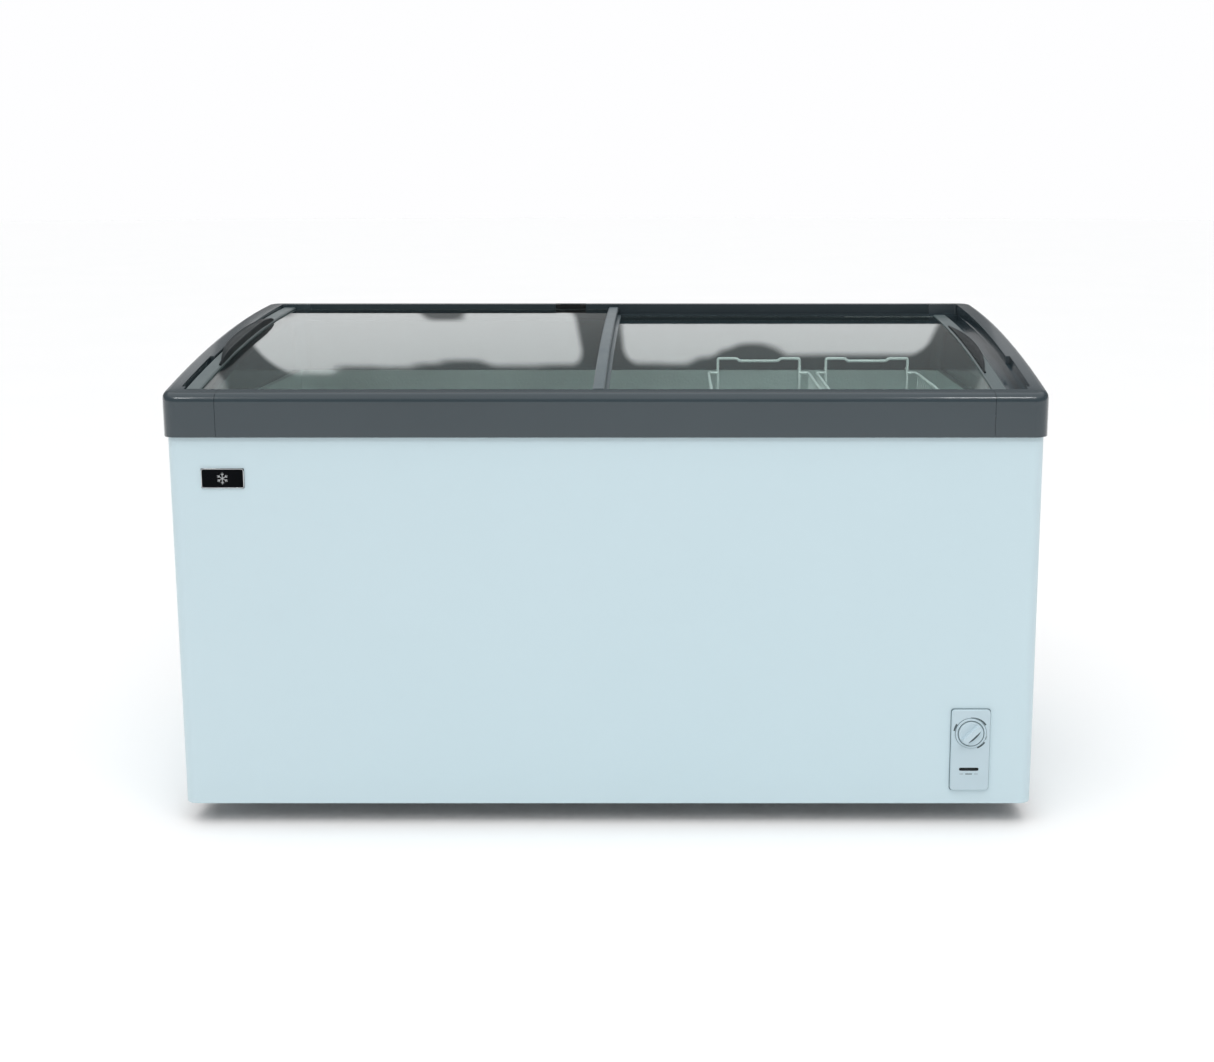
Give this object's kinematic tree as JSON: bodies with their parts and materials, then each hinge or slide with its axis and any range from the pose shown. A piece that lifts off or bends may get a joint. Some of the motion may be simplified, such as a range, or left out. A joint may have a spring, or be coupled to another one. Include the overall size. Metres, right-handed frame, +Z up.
{
  "type": "chest freezer",
  "caption": "Glass-top display chest freezer with curved sliding doors, a dark moulded top frame, a white cabinet and wire hanging baskets.",
  "frame": {"origin": "on the floor, under the middle of the freezer", "axes": "+X to the right as seen from the front, +Y to the back, +Z up"},
  "size_m": [1.5, 0.724, 0.8605],
  "materials": {
    "cabinet_paint": "gloss",
    "galvanised_sheet": "satin",
    "foam": "matte",
    "stucco_aluminium": "satin",
    "frame_abs": "gloss",
    "moulding_abs": "satin",
    "profile_abs": "satin",
    "handle_abs": "gloss",
    "door_glass": "polished",
    "black_nylon": "satin",
    "black_rubber": "matte",
    "brush_pile": "matte",
    "white_abs": "satin",
    "badge_black": "gloss",
    "lamp_black": "gloss",
    "coated_wire": "satin",
    "copper_tube": "satin",
    "black_enamel": "gloss",
    "zinc_steel": "satin"
  },
  "bodies": {
    "cabinet": {"cabinet_wrap": "cabinet_paint", "side_vent_grille": "white_abs", "rear_panel": "galvanised_sheet", "rear_vent_grille": "galvanised_sheet", "base_pan": "galvanised_sheet", "cord_gland": "black_rubber", "rear_spacer_left": "black_nylon", "rear_spacer_right": "black_nylon", "foam_insulation": "foam", "inner_liner": "stucco_aluminium", "drain_tube": "white_abs", "evaporator_coil": "copper_tube", "condenser_coil": "copper_tube", "compressor": "black_enamel", "compressor_plate": "zinc_steel", "relay_cover": "black_nylon", "filter_drier": "copper_tube", "suction_pipe": "copper_tube", "fan_bracket": "zinc_steel", "fan_motor": "zinc_steel", "front_rail": "frame_abs", "rear_rail": "frame_abs", "left_end_cap": "frame_abs", "right_end_cap": "frame_abs", "lock_strike": "black_nylon", "badge_plate": "badge_black", "control_panel": "white_abs", "dial_ring": "white_abs", "thermostat_body": "zinc_steel", "power_lamp": "lamp_black", "grommet_1": "black_rubber", "grommet_2": "black_rubber", "grommet_3": "black_rubber", "grommet_4": "black_rubber"},
    "left_door": {"left_door_glass": "door_glass", "left_door_end_moulding": "moulding_abs", "left_door_inner_profile": "profile_abs", "left_door_handle": "handle_abs", "left_door_front_runner": "black_nylon", "left_door_rear_runner": "black_nylon", "brush_seal": "brush_pile"},
    "right_door": {"right_door_glass": "door_glass", "right_door_end_moulding": "moulding_abs", "right_door_inner_profile": "profile_abs", "right_door_handle": "handle_abs", "right_door_front_runner": "black_nylon", "right_door_rear_runner": "black_nylon"},
    "basket_left": {"basket_1": "coated_wire"},
    "basket_right": {"basket_2": "coated_wire"},
    "knob": {"thermostat_knob": "white_abs"},
    "plug": {"drain_plug": "white_abs"},
    "fan": {"fan_blade": "white_abs"},
    "fork_front_left": {"caster_fork_front_left": "zinc_steel"},
    "wheel_front_left": {"caster_wheel_front_left": "black_rubber"},
    "fork_front_right": {"caster_fork_front_right": "zinc_steel"},
    "wheel_front_right": {"caster_wheel_front_right": "black_rubber"},
    "fork_rear_left": {"caster_fork_rear_left": "zinc_steel"},
    "wheel_rear_left": {"caster_wheel_rear_left": "black_rubber"},
    "fork_rear_right": {"caster_fork_rear_right": "zinc_steel"},
    "wheel_rear_right": {"caster_wheel_rear_right": "black_rubber"}
  },
  "joints": [
    {"name": "left_door_slide", "type": "slide", "parent": "cabinet", "child": "left_door", "axis": [1, 0, 0], "range_m": [0, 0.63]},
    {"name": "right_door_slide", "type": "slide", "parent": "cabinet", "child": "right_door", "axis": [-1, 0, 0], "range_m": [0, 0.63]},
    {"name": "basket_left_slide", "type": "slide", "parent": "cabinet", "child": "basket_left", "axis": [1, 0, 0], "range_m": [-0.85, 0.005]},
    {"name": "basket_right_slide", "type": "slide", "parent": "cabinet", "child": "basket_right", "axis": [1, 0, 0], "range_m": [-0.005, 0.04]},
    {"name": "thermostat_turn", "type": "hinge", "parent": "cabinet", "child": "knob", "pos_m": [0.6315, -0.355, 0.171], "axis": [0, -1, 0], "range_deg": [-105, 195]},
    {"name": "drain_plug_lift", "type": "slide", "parent": "cabinet", "child": "plug", "axis": [0, 0, 1], "range_m": [0, 0.04]},
    {"name": "fan_spin", "type": "hinge", "parent": "cabinet", "child": "fan", "pos_m": [0.585, -0.13, 0.165], "axis": [0, 1, 0], "continuous": true},
    {"name": "swivel_front_left", "type": "hinge", "parent": "cabinet", "child": "fork_front_left", "pos_m": [-0.66, -0.235, 0.047], "axis": [0, 0, 1], "continuous": true},
    {"name": "roll_front_left", "type": "hinge", "parent": "fork_front_left", "child": "wheel_front_left", "pos_m": [-0.66, -0.223, 0.017], "axis": [1, 0, 0], "continuous": true},
    {"name": "swivel_front_right", "type": "hinge", "parent": "cabinet", "child": "fork_front_right", "pos_m": [0.66, -0.235, 0.047], "axis": [0, 0, 1], "continuous": true},
    {"name": "roll_front_right", "type": "hinge", "parent": "fork_front_right", "child": "wheel_front_right", "pos_m": [0.66, -0.223, 0.017], "axis": [1, 0, 0], "continuous": true},
    {"name": "swivel_rear_left", "type": "hinge", "parent": "cabinet", "child": "fork_rear_left", "pos_m": [-0.66, 0.235, 0.047], "axis": [0, 0, 1], "continuous": true},
    {"name": "roll_rear_left", "type": "hinge", "parent": "fork_rear_left", "child": "wheel_rear_left", "pos_m": [-0.66, 0.247, 0.017], "axis": [1, 0, 0], "continuous": true},
    {"name": "swivel_rear_right", "type": "hinge", "parent": "cabinet", "child": "fork_rear_right", "pos_m": [0.66, 0.235, 0.047], "axis": [0, 0, 1], "continuous": true},
    {"name": "roll_rear_right", "type": "hinge", "parent": "fork_rear_right", "child": "wheel_rear_right", "pos_m": [0.66, 0.247, 0.017], "axis": [1, 0, 0], "continuous": true}
  ]
}
